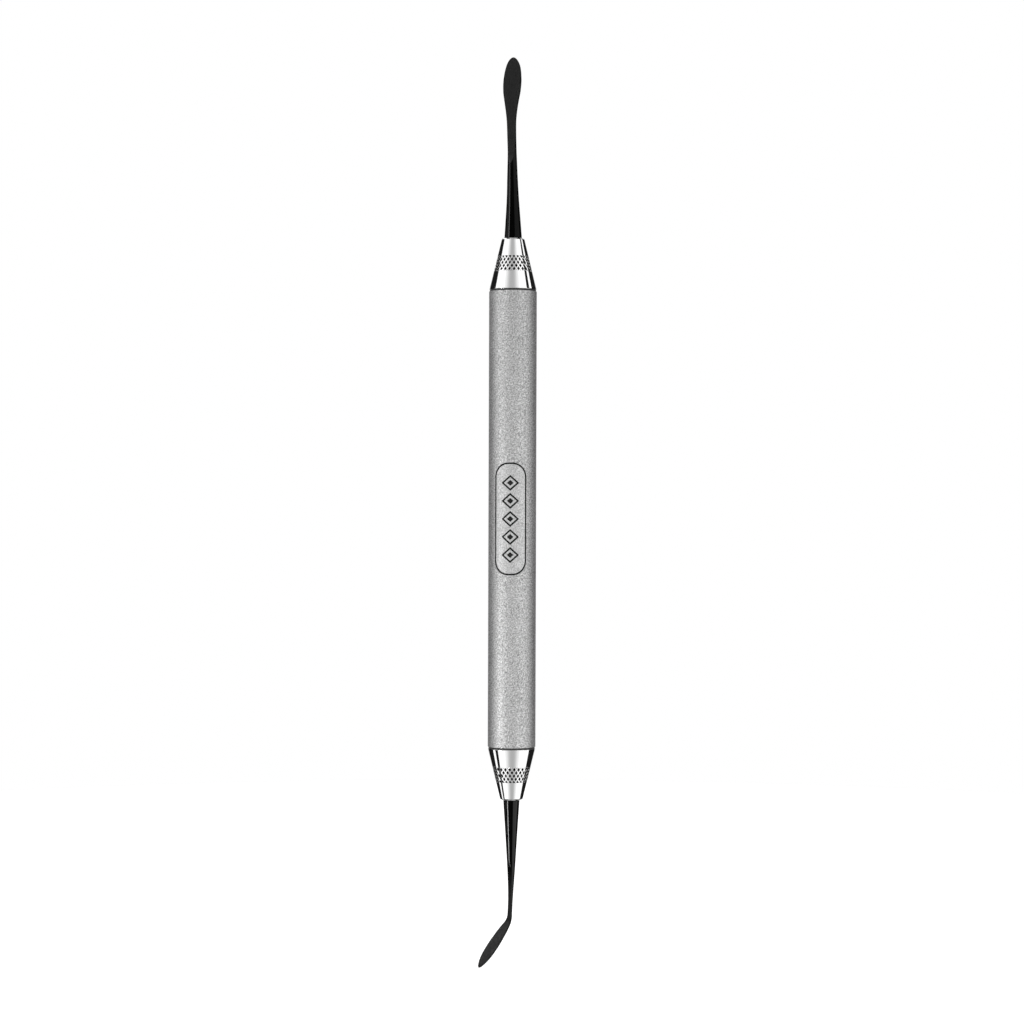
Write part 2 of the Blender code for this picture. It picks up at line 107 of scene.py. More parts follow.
# Diamond knurl cut round the socket: a lattice of ridges on the cone, with a pit in each diamond.
# Rows and columns are counted in half diamonds, and a land is the flat top of a ridge.
KNURL_START = 0.04984
KNURL_END = 0.05272
KNURL_COLUMNS = 26
KNURL_FIRST_ROW = 0.5
KNURL_LAST_ROW = 5.0
KNURL_DEPTH = 0.00022
KNURL_MARGIN = 0.00012
KNURL_FINENESS = 4
KNURL_LAND = 0.125
# Distance to the extra ring that keeps a rounding's or the knurl's shading off the plain cone
SHADING_GUARD = 0.00004
KNURL_TURN = {"upper": math.radians(3.3), "lower": math.radians(5.3)}

# Blade tangs, the same at both ends
TANG_RADIUS = 0.0012
TANG_LENGTH = 0.0088
SHOULDER_GAP = 0.00002
SHOULDER_EDGE = 0.00012

# Blade outlines. Each station: distance from the socket's nose, half width, half thickness, sideways sway.
ROUND = 1.0
UPPER_STATIONS = [
    (0.0000, 0.00177, ROUND, 0.00000),
    (0.0033, 0.00154, ROUND, 0.00003),
    (0.0081, 0.00123, ROUND, 0.00010),
    (0.0130, 0.00104, ROUND, 0.00020),
    (0.0154, 0.00096, 0.00096, 0.00023),
    (0.0177, 0.00090, 0.00060, 0.00028),
    (0.0206, 0.00091, 0.00034, 0.00037),
    (0.0234, 0.00096, 0.00025, 0.00043),
    (0.0250, 0.00109, 0.00025, 0.00045),
    (0.0266, 0.00131, 0.00025, 0.00045),
    (0.0282, 0.00158, 0.00025, 0.00042),
    (0.0298, 0.00183, 0.00025, 0.00036),
    (0.0314, 0.00190, 0.00025, 0.00028),
    (0.0331, 0.00177, 0.00025, 0.00019),
    (0.0347, 0.00145, 0.00025, 0.00010),
    (0.0355, 0.00111, 0.00025, 0.00008),
    (0.0361, 0.00070, 0.00022, 0.00006),
    (0.0364, 0.00036, 0.00018, 0.00005),
    (0.03651, 0.00000, 0.00018, 0.00005),
]
UPPER_FACE_TURN = math.radians(22.0)

LOWER_STATIONS = [
    (0.0000, 0.00165, ROUND, 0.0),
    (0.0041, 0.00138, ROUND, 0.0),
    (0.0082, 0.00112, ROUND, 0.0),
    (0.0122, 0.00088, 0.00088, 0.0),
    (0.0162, 0.00065, 0.00049, 0.0),
    (0.0186, 0.00053, 0.00035, 0.0),
    (0.0210, 0.00047, 0.00029, 0.0),
    (0.0227, 0.00047, 0.00027, 0.0),
    (0.0236, 0.00052, 0.00025, 0.0),
    (0.0243, 0.00062, 0.00023, 0.0),
    (0.0252, 0.00083, 0.00021, 0.0),
    (0.0264, 0.00107, 0.00020, 0.0),
    (0.0284, 0.00129, 0.00020, 0.0),
    (0.0304, 0.00141, 0.00020, 0.0),
    (0.0324, 0.00135, 0.00020, 0.0),
    (0.0335, 0.00121, 0.00020, 0.0),
    (0.0345, 0.00097, 0.00020, 0.0),
    (0.0355, 0.00058, 0.00019, 0.0),
    (0.0360, 0.00033, 0.00016, 0.0),
    (0.0363, 0.00000, 0.00016, 0.0),
]
LOWER_FACE_TURN = math.radians(45.0)
# Bends of the lower blade: distance at which each starts, its radius, and its angle
LOWER_BENDS = [
    (0.0125, 0.1500, math.radians(4.0)),
    (0.0232, 0.0026, math.radians(41.0)),
]

# Mesh fineness
SEGMENTS = 2 * KNURL_COLUMNS * KNURL_FINENESS
FILLET_STEPS = 5
RIM_STEPS = 18
FLAT_STEPS = 24
BLADE_STEP = 0.00035
BADGE_CORNER_STEPS = 20
BADGE_POINT_GAP = 0.00016
SMOOTH_ANGLE = math.radians(28.0)

# Studio
CAMERA_DISTANCE = 0.53
CAMERA_LENS = 92.56
CAMERA_SIDE = -0.00006
CAMERA_HEIGHT = 0.00142
CAMERA_ROLL = math.radians(0.18)
SENSOR_WIDTH = 36.0
LIGHT_CIRCLE = 0.60
END_LIGHT_HEIGHT = 1.0
END_LIGHT_SIZE = 0.8
END_LIGHT_RADIANCE = 0.8
FLOOR_RADIUS = 0.36
FLOOR_DROP = 0.0002


# ---------------------------------------------------------------- mesh building

class Shell:
    """A closed surface built up ring by ring."""

    def __init__(self):
        self.mesh = bmesh.new()

    def ring(self, points):
        """Add a ring of vertices and return it."""
        return [self.mesh.verts.new(point) for point in points]

    def circle(self, radius, height, count=SEGMENTS):
        """Add a level ring round the Z axis."""
        points = []
        for i in range(count):
            angle = 2.0 * math.pi * i / count
            points.append(Vector((radius * math.cos(angle), radius * math.sin(angle), height)))
        return self.ring(points)

    def face(self, corners):
        """Add one face."""
        self.mesh.faces.new(corners)

    def bridge(self, ring_a, ring_b):
        """Join two rings, which may differ in count by a factor of two."""
        if len(ring_a) == 2 * len(ring_b):
            self.bridge_fine_to_coarse(ring_a, ring_b)
        elif len(ring_b) == 2 * len(ring_a):
            self.bridge_fine_to_coarse(ring_b, ring_a)
        else:
            for i in range(len(ring_a)):
                j = (i + 1) % len(ring_a)
                self.face([ring_a[i], ring_a[j], ring_b[j], ring_b[i]])

    def bridge_fine_to_coarse(self, fine, coarse):
        """Join a ring to one with half as many vertices."""
        for i in range(len(coarse)):
            j = (i + 1) % len(coarse)
            middle = fine[2 * i + 1]
            self.face([fine[2 * i], middle, coarse[i]])
            self.face([middle, coarse[j], coarse[i]])
            self.face([middle, fine[(2 * i + 2) % len(fine)], coarse[j]])

    def lathe(self, profile, first_ring=None):
        """Add rings for (radius, height) rows, each joined to the one before. Returns the last ring."""
        previous = first_ring
        for radius, height in profile:
            current = self.circle(radius, height)
            if previous is not None:
                self.bridge(previous, current)
            previous = current
        return previous

    def close_to_point(self, ring, point):
        """Cover a ring with a fan that meets at one point."""
        apex = self.mesh.verts.new(point)
        for i in range(len(ring)):
            self.face([ring[i], ring[(i + 1) % len(ring)], apex])

    def build(self, name, material, matrix=None):
        """Turn the surface into a named, smooth-shaded object whose place is in its mesh."""
        bmesh.ops.recalc_face_normals(self.mesh, faces=self.mesh.faces[:])
        data = bpy.data.meshes.new(name)
        self.mesh.to_mesh(data)
        self.mesh.free()
        if matrix is not None:
            data.transform(matrix)
        shade(data)
        data.materials.append(material)
        made = bpy.data.objects.new(name, data)
        bpy.context.scene.collection.objects.link(made)
        return made


def shade(data):
    """Smooth shading with crisp edges."""
    data.shade_smooth()
    data.set_sharp_from_angle(angle=SMOOTH_ANGLE)


def fillet(start, corner, end):
    """Points of a rounded corner from start to end, as (radius, height) rows, drawn towards the corner."""
    points = []
    for i in range(FILLET_STEPS + 1):
        t = i / FILLET_STEPS
        a = (1.0 - t) ** 2
        b = 2.0 * t * (1.0 - t)
        c = t * t
        points.append(tuple(a * start[k] + b * corner[k] + c * end[k] for k in range(2)))
    return points


def screw_thread(shell, start, profile, root_radius, crest_radius):
    """Add a right-handed helical ridge. Returns the level rings at its foot and head, at the root radius."""
    count = SEGMENTS // 2
    steps = THREAD_TURNS * count
    last = len(profile)

    def helix_point(step, k):
        """Point k of the ridge's profile, after some steps of the turn."""
        height, on_crest = profile[k]
        radius = crest_radius if on_crest else root_radius
        angle = 2.0 * math.pi * step / count
        rise = start + PITCH * (step / count + height)
        return Vector((radius * math.cos(angle), radius * math.sin(angle), rise))

    grid = {}
    for step in range(steps + count + 1):
        grid[step, 0] = shell.mesh.verts.new(helix_point(step, 0))
    for step in range(steps + 1):
        for k in range(1, last):
            grid[step, k] = shell.mesh.verts.new(helix_point(step, k))
        grid[step, last] = grid[step + count, 0]
    for step in range(steps):
        for k in range(last):
            shell.face([grid[step, k], grid[step + 1, k], grid[step + 1, k + 1], grid[step, k + 1]])

    foot_height = start + PITCH * (profile[0][0] - THREAD_MARGIN)
    head_height = start + PITCH * (THREAD_TURNS + 1 + profile[0][0] + THREAD_MARGIN)
    foot = shell.circle(root_radius, foot_height, count)
    head = shell.circle(root_radius, head_height, count)
    for i in range(1, count):
        j = (i + 1) % count
        shell.face([grid[steps + i, 0], grid[steps + i + 1, 0], head[j], head[i]])
    for i in range(count - 1):
        shell.face([foot[i], foot[i + 1], grid[i + 1, 0], grid[i, 0]])
    # The two faces that run past the ridge's blunt ends also take in the blunt end's corner at the root
    start_edge = [grid[0, 0], grid[0, last - 1], grid[count, 0]]
    finish_edge = [grid[steps + count, 0], grid[steps, last - 1], grid[steps, 0]]
    shell.face([foot[-1], foot[0]] + start_edge + [grid[count - 1, 0]])
    shell.face([grid[steps + 1, 0], head[1], head[0]] + finish_edge)
    shell.face([grid[0, k] for k in range(last)])
    shell.face([grid[steps, k] for k in range(last)])
    return foot, head


# ---------------------------------------------------------------- handle

def wrap_on_handle(across, along, radius):
    """Place a point of the flat badge drawing on a cylinder round the handle's axis, facing -Y."""
    angle = across / TUBE_RADIUS + BADGE_TURN
    return Vector((radius * math.sin(angle), -radius * math.cos(angle), along + BADGE_RISE))


def badge_outline(inset):
    """Outline of the badge frame, moved inwards by the inset, as points on the flat drawing."""
    radius = BADGE_CORNER - inset
    points = []
    for quarter in range(4):
        start = math.pi / 2.0 * quarter
        side = 1.0 if quarter in (0, 3) else -1.0
        end = 1.0 if quarter in (0, 1) else -1.0
        centre_across = side * (BADGE_WIDTH / 2.0 - BADGE_CORNER)
        centre_along = end * (BADGE_HEIGHT / 2.0 - BADGE_CORNER)
        for i in range(BADGE_CORNER_STEPS + 1):
            angle = start + math.pi / 2.0 * i / BADGE_CORNER_STEPS
            points.append((centre_across + radius * math.cos(angle), centre_along + radius * math.sin(angle)))
    return points


def lozenge_outline(centre, inset):
    """Outline of one lozenge, moved inwards by the inset."""
    shrink = inset * math.hypot(LOZENGE_WIDTH, LOZENGE_HEIGHT)
    half_width = LOZENGE_WIDTH / 2.0 - shrink / LOZENGE_HEIGHT
    half_height = LOZENGE_HEIGHT / 2.0 - shrink / LOZENGE_WIDTH
    corners = [(half_width, 0.0), (0.0, half_height), (-half_width, 0.0), (0.0, -half_height)]
    return [(across, centre + along) for across, along in corners]


def follow_the_curve(inner, outer):
    """Split both outlines at the same places, so that no step across the handle is long."""
    fine_inner = []
    fine_outer = []
    for i in range(len(outer)):
        j = (i + 1) % len(outer)
        steps = max(1, math.ceil(abs(outer[j][0] - outer[i][0]) / BADGE_POINT_GAP))
        for part in range(steps):
            t = part / steps
            for source, target in ((inner, fine_inner), (outer, fine_outer)):
                target.append(tuple(source[i][k] * (1.0 - t) + source[j][k] * t for k in range(2)))
    return fine_inner, fine_outer


def add_groove(shell, inner, outer):
    """Add the solid of one closed groove, from its inner and outer outlines on the flat drawing."""
    inner, outer = follow_the_curve(inner, outer)
    floor = TUBE_RADIUS - GROOVE_DEPTH
    above = TUBE_RADIUS + GROOVE_DEPTH
    loops = []
    for outline, radius in ((inner, floor), (outer, floor), (outer, above), (inner, above)):
        loops.append(shell.ring([wrap_on_handle(across, along, radius) for across, along in outline]))
    for i in range(4):
        shell.bridge(loops[i], loops[(i + 1) % 4])


def add_dimple(shell, outline):
    """Add the solid of one shallow dimple, from its outline on the flat drawing."""
    outline, _same = follow_the_curve(outline, outline)
    rings = []
    for radius in (TUBE_RADIUS - GROOVE_DEPTH, TUBE_RADIUS + GROOVE_DEPTH):
        rings.append(shell.ring([wrap_on_handle(across, along, radius) for across, along in outline]))
        shell.face(rings[-1])
    shell.bridge(*rings)


def inside_badge(point):
    """Whether a point on the handle lies within the badge frame."""
    across = TUBE_RADIUS * (math.atan2(point.x, -point.y) - BADGE_TURN)
    along = point.z - BADGE_RISE
    return abs(across) < BADGE_WIDTH / 2.0 and abs(along) < BADGE_HEIGHT / 2.0


def engrave(tube, cutter):
    """Cut the grooves into the tube and take the cutter away."""
    cut = tube.modifiers.new("engraving", "BOOLEAN")
    cut.operation = "DIFFERENCE"
    cut.solver = "EXACT"
    cut.object = cutter
    bpy.context.view_layer.update()
    evaluated = tube.evaluated_get(bpy.context.evaluated_depsgraph_get())
    data = bpy.data.meshes.new_from_object(evaluated)
    tube.modifiers.clear()
    tube.data = data
    bpy.data.objects.remove(cutter, do_unlink=True)


def paint_badge(data):
    """Give the grooves and the field inside the badge frame their own materials."""
    touched = TUBE_RADIUS - 0.1 * GROOVE_DEPTH
    deepest = TUBE_RADIUS - 1.5 * GROOVE_DEPTH
    data.materials.append(etched_groove_material())
    data.materials.append(badge_field_material())
    for polygon in data.polygons:
        centre = polygon.center
        radius = math.hypot(centre.x, centre.y)
        if radius < deepest or not inside_badge(centre):
            polygon.material_index = 0
        elif radius < touched:
            polygon.material_index = 1
        else:
            polygon.material_index = 2


def split_many_sided_faces(data):
    """Split the faces that the engraving left with more than four corners into well-shaped triangles."""
    mesh = bmesh.new()
    mesh.from_mesh(data)
    many_sided = [face for face in mesh.faces if len(face.verts) > 4]
    bmesh.ops.triangulate(mesh, faces=many_sided, ngon_method="BEAUTY")
    mesh.to_mesh(data)
    mesh.free()


def make_grip():
    """Long hollow grip with rounded ends and the engraved badge on its front."""
    end = TUBE_HALF_LENGTH
    edge = TUBE_EDGE
    upper_edge = fillet((TUBE_RADIUS, end - edge), (TUBE_RADIUS, end), (TUBE_RADIUS - edge, end))
    lower_edge = [(radius, -height) for radius, height in reversed(upper_edge)]
    shell = Shell()
    first = shell.lathe(lower_edge[:1])
    profile = lower_edge[1:] + [(TUBE_RADIUS, -BADGE_HEIGHT), (TUBE_RADIUS, BADGE_HEIGHT)] + upper_edge
    profile += [(TUBE_BORE_RADIUS, end), (TUBE_BORE_RADIUS, -end)]
    shell.bridge(shell.lathe(profile, first), first)
    tube = shell.build("grip_tube", satin_steel_material())

    grooves = Shell()
    add_groove(grooves, badge_outline(GROOVE_WIDTH), badge_outline(0.0))
    for i in range(LOZENGE_COUNT):
        centre = (i - (LOZENGE_COUNT - 1) / 2.0) * LOZENGE_PITCH
        add_groove(grooves, lozenge_outline(centre, GROOVE_WIDTH), lozenge_outline(centre, 0.0))
        add_dimple(grooves, lozenge_outline(centre, DIMPLE_INSET))
    engrave(tube, grooves.build("groove_cutter", satin_steel_material()))
    paint_badge(tube.data)
    split_many_sided_faces(tube.data)
    shade(tube.data)
    return tube


# ---------------------------------------------------------------- bushes, seals and sockets

def make_bush(name, matrix):
    """Threaded bush inside one end of the tube."""
    shell = Shell()
    foot, head = screw_thread(shell, BUSH_THREAD_START, BUSH_PROFILE, BUSH_ROOT_RADIUS, BUSH_CREST_RADIUS)
    inner_end = shell.circle(BUSH_ROOT_RADIUS, BUSH_BOTTOM, SEGMENTS // 2)
    shell.bridge(foot, inner_end)
    outside = [
        (BUSH_RADIUS - BUSH_CHAMFER, BUSH_BOTTOM),
        (BUSH_RADIUS, BUSH_BOTTOM + BUSH_CHAMFER),
        (BUSH_RADIUS, BUSH_TOP - BUSH_CHAMFER),
        (BUSH_RADIUS - BUSH_CHAMFER, BUSH_TOP),
    ]
    face_edge = shell.lathe(outside, inner_end)
    mouth = shell.circle(BUSH_MOUTH_RADIUS, BUSH_TOP, SEGMENTS // 2)
    throat_height = BUSH_TOP - (BUSH_MOUTH_RADIUS - BUSH_ROOT_RADIUS)
    throat = shell.circle(BUSH_ROOT_RADIUS, throat_height, SEGMENTS // 2)
    shell.bridge(face_edge, mouth)
    shell.bridge(mouth, throat)
    shell.bridge(throat, head)
    return shell.build(name, turned_steel_material(), matrix)


def make_seal(name, matrix):
    """Black ring with soft edges, nipped between the tube's end and the socket."""
    narrow = SEAL_RADIUS - SEAL_EDGE
    low = SEAL_BOTTOM + SEAL_EDGE
    high = SEAL_TOP - SEAL_EDGE
    profile = [(SEAL_HOLE_RADIUS, SEAL_BOTTOM)]
    profile += fillet((narrow, SEAL_BOTTOM), (SEAL_RADIUS, SEAL_BOTTOM), (SEAL_RADIUS, low))
    profile += fillet((SEAL_RADIUS, high), (SEAL_RADIUS, SEAL_TOP), (narrow, SEAL_TOP))
    profile += [(SEAL_HOLE_RADIUS, SEAL_TOP)]
    shell = Shell()
    first = shell.lathe(profile[:1])
    shell.bridge(shell.lathe(profile[1:], first), first)
    return shell.build(name, seal_rubber_material(), matrix)


def socket_radius(height):
    """Radius of the socket's plain cone at one height."""
    share = (height - SOCKET_BASE) / (SOCKET_TOP - SOCKET_BASE)
    return SOCKET_BASE_RADIUS + (SOCKET_NOSE_RADIUS - SOCKET_BASE_RADIUS) * share


def ridge_distances(column, row):
    """How far a point of the knurl is from the nearest ridge of each family: 0 on a ridge, 0.5 in a pit."""
    along_s = (column + row) / 2.0
    along_t = (column - row) / 2.0
    return 0.5 - abs(along_s - round(along_s)), 0.5 - abs(along_t - round(along_t))


def knurl_cut(column, row):
    """Depth of the knurl, with the column and the row counted in half diamonds."""
    nearest = min(ridge_distances(column, row))
    return KNURL_DEPTH * max(0.0, nearest - KNURL_LAND) / (0.5 - KNURL_LAND)


def add_knurl(shell, first_ring, turn):
    """Add the diamond knurl above a ring on the cone and return its last ring."""
    previous = first_ring
    fine = KNURL_FINENESS
    rows = round((KNURL_LAST_ROW - KNURL_FIRST_ROW) * fine)
    for row in range(rows + 1):
        height = KNURL_START + (KNURL_END - KNURL_START) * row / rows
        points = []
        for column in range(SEGMENTS):
            cut = knurl_cut(column / fine, KNURL_FIRST_ROW + row / fine)
            radius = socket_radius(height) - cut
            angle = 2.0 * math.pi * column / SEGMENTS + turn
            points.append(Vector((radius * math.cos(angle), radius * math.sin(angle), height)))
        current = shell.ring(points)
        if row == 0:
            shell.bridge(previous, current)
        else:
            add_knurl_row(shell, previous, current, KNURL_FIRST_ROW + (row - 0.5) / fine)
        previous = current
    return previous


def add_knurl_row(shell, below, above, middle_row):
    """Join two rings of the knurl with triangles whose long sides run along the ridges."""
    for i in range(SEGMENTS):
        j = (i + 1) % SEGMENTS
        to_s, to_t = ridge_distances((i + 0.5) / KNURL_FINENESS, middle_row)
        if to_s < to_t:
            shell.face([below[i], below[j], above[i]])
            shell.face([below[j], above[j], above[i]])
        else:
            shell.face([below[i], below[j], above[j]])
            shell.face([below[i], above[j], above[i]])


def make_socket(name, end_name, matrix):
    """Knurled cone with a threaded stud at its base and a hole for the tang in its nose."""
    shell = Shell()
    foot, head = screw_thread(shell, STUD_THREAD_START, STUD_PROFILE, STUD_ROOT_RADIUS, STUD_CREST_RADIUS)
    stud_shoulder = shell.circle(STUD_ROOT_RADIUS, STUD_BOTTOM + STUD_CHAMFER, SEGMENTS // 2)
    stud_end = shell.circle(STUD_ROOT_RADIUS - STUD_CHAMFER, STUD_BOTTOM, SEGMENTS // 2)
    shell.bridge(foot, stud_shoulder)
    shell.bridge(stud_shoulder, stud_end)
    shell.close_to_point(stud_end, Vector((0.0, 0.0, STUD_BOTTOM)))

    root = shell.circle(STUD_ROOT_RADIUS, SOCKET_BASE, SEGMENTS // 2)
    shell.bridge(head, root)
    rise = SOCKET_BASE + SOCKET_BASE_EDGE
    below_knurl = KNURL_START - KNURL_MARGIN
    above_knurl = KNURL_END + KNURL_MARGIN
    nose_start = SOCKET_TOP - SOCKET_NOSE_EDGE
    base = fillet(
        (SOCKET_BASE_RADIUS - SOCKET_BASE_EDGE, SOCKET_BASE),
        (socket_radius(SOCKET_BASE), SOCKET_BASE),
        (socket_radius(rise), rise),
    )
    for height in (rise + SHADING_GUARD, below_knurl - SHADING_GUARD, below_knurl):
        base.append((socket_radius(height), height))
    knurl_end = add_knurl(shell, shell.lathe(base, root), KNURL_TURN[end_name])
    nose = []
    for height in (above_knurl, above_knurl + SHADING_GUARD, nose_start - SHADING_GUARD):
        nose.append((socket_radius(height), height))
    nose += fillet(
        (socket_radius(nose_start), nose_start),
        (socket_radius(nose_start) - 0.3 * SOCKET_NOSE_EDGE, SOCKET_TOP - 0.2 * SOCKET_NOSE_EDGE),
        (socket_radius(nose_start) - SOCKET_NOSE_EDGE, SOCKET_TOP),
    )
    nose += [(TANG_HOLE_RADIUS, SOCKET_TOP), (TANG_HOLE_RADIUS, TANG_HOLE_BOTTOM)]
    hole_end = shell.lathe(nose, knurl_end)
    shell.close_to_point(hole_end, Vector((0.0, 0.0, TANG_HOLE_BOTTOM)))
    return shell.build(name, polished_steel_material(), matrix)


# ---------------------------------------------------------------- blades

def smooth_value(stations, column, distance):
    """Value of one column at a distance, on a smooth curve through the stations that never overshoots."""
    last = len(stations) - 2
    i = 0
    while i < last and distance > stations[i + 1][0]:
        i += 1

    def slope_between(k):
        return (stations[k + 1][column] - stations[k][column]) / (stations[k + 1][0] - stations[k][0])

    def slope_at(k):
        if k == 0:
            return slope_between(0)
        if k == len(stations) - 1:
            return slope_between(k - 1)
        before = slope_between(k - 1)
        after = slope_between(k)
        if before * after <= 0.0:
            return 0.0
        return 2.0 * before * after / (before + after)

    width = stations[i + 1][0] - stations[i][0]
    t = (distance - stations[i][0]) / width
    start = stations[i][column]
    end = stations[i + 1][column]
    start_part = (1.0 + 2.0 * t) * (1.0 - t) ** 2 * start + t * (1.0 - t) ** 2 * width * slope_at(i)
    end_part = t * t * (3.0 - 2.0 * t) * end + t * t * (t - 1.0) * width * slope_at(i + 1)
    return start_part + end_part


def blade_section(half_width, half_thickness):
    """Outline of a blade's cross-section: a circle with two flats, the same number of points everywhere."""
    steepest = math.sin(math.radians(60.0))
    rim = math.asin(min(half_thickness / half_width, steepest))
    flat_reach = half_width * math.cos(rim)
    points = []
    for side in (1.0, -1.0):
        for i in range(RIM_STEPS + 1):
            angle = -rim + 2.0 * rim * i / RIM_STEPS
            points.append((side * half_width * math.cos(angle), side * half_width * math.sin(angle)))
        for i in range(1, FLAT_STEPS):
            across = side * flat_reach * (1.0 - 2.0 * i / FLAT_STEPS)
            arc = math.sqrt(half_width * half_width - across * across)
            points.append((across, side * min(half_thickness, arc)))
    return points


def straight_path(distance):
    """Centre and axes (width, face) of a blade with no bend."""
    return Vector((0.0, 0.0, distance)), Vector((1, 0, 0)), Vector((0, 1, 0))


def bent_path(distance):
    """Centre and axes of the bent blade, which turns towards its face at each of its bends."""
    centre = Vector((0.0, 0.0, 0.0))
    angle = 0.0
    travelled = 0.0
    for start, radius, turn in LOWER_BENDS:
        straight = min(distance, start) - travelled
        centre += straight * Vector((0.0, math.sin(angle), math.cos(angle)))
        turned = min(max(distance - start, 0.0) / radius, turn)
        rise = math.sin(angle + turned) - math.sin(angle)
        centre += radius * Vector((0.0, math.cos(angle) - math.cos(angle + turned), rise))
        angle += turned
        travelled = min(distance, start + radius * turn)
    centre += (distance - travelled) * Vector((0.0, math.sin(angle), math.cos(angle)))
    face = Vector((0.0, math.cos(angle), -math.sin(angle)))
    return centre, Vector((1, 0, 0)), face


def blade_distances(stations):
    """Distances at which the blade gets a ring: even steps between the stations."""
    distances = []
    for here, there in zip(stations, stations[1:]):
        steps = max(1, round((there[0] - here[0]) / BLADE_STEP))
        for i in range(steps):
            distances.append(here[0] + (there[0] - here[0]) * i / steps)
    return distances


def make_blade(name, stations, path, matrix):
    """One blade with its shank and its round tang, built along +Z from the socket's nose and then placed."""
    shell = Shell()

    def placed_ring(distance, half_width, half_thickness, sway):
        centre, across, face = path(distance)
        outline = blade_section(half_width, half_thickness)
        return shell.ring([centre + across * (u + sway) + face * v for u, v in outline])

    root_radius = stations[0][1]
    shoulder = SHOULDER_GAP
    lead_in = 2.0 * SHOULDER_EDGE
    rings = [
        placed_ring(-TANG_LENGTH, TANG_RADIUS - lead_in, ROUND, 0.0),
        placed_ring(-TANG_LENGTH + lead_in, TANG_RADIUS, ROUND, 0.0),
        placed_ring(shoulder, TANG_RADIUS, ROUND, 0.0),
        placed_ring(shoulder, root_radius - SHOULDER_EDGE, ROUND, 0.0),
    ]
    for distance in blade_distances(stations):
        distance = max(distance, shoulder + SHOULDER_EDGE)
        half_width = smooth_value(stations, 1, distance)
        half_thickness = smooth_value(stations, 2, distance)
        sway = smooth_value(stations, 3, distance)
        rings.append(placed_ring(distance, half_width, half_thickness, sway))
    for ring_a, ring_b in zip(rings, rings[1:]):
        shell.bridge(ring_a, ring_b)
    shell.close_to_point(rings[0], Vector((0.0, 0.0, -TANG_LENGTH)))
    centre, across, _face = path(stations[-1][0])
    shell.close_to_point(rings[-1], centre + across * stations[-1][3])
    return shell.build(name, black_coating_material(), matrix)


def tip_placement(outward, turn):
    """Matrix that puts a blade on the socket's nose with its face turned from -Y towards -X."""
    along = Vector((0.0, 0.0, outward))
    face = Vector((-math.sin(turn), -math.cos(turn), 0.0))
    across = face.cross(along)
    axes = Matrix((across, face, along)).transposed().to_4x4()
    return Matrix.Translation((0.0, 0.0, outward * SOCKET_TOP)) @ axes


# ---------------------------------------------------------------- materials

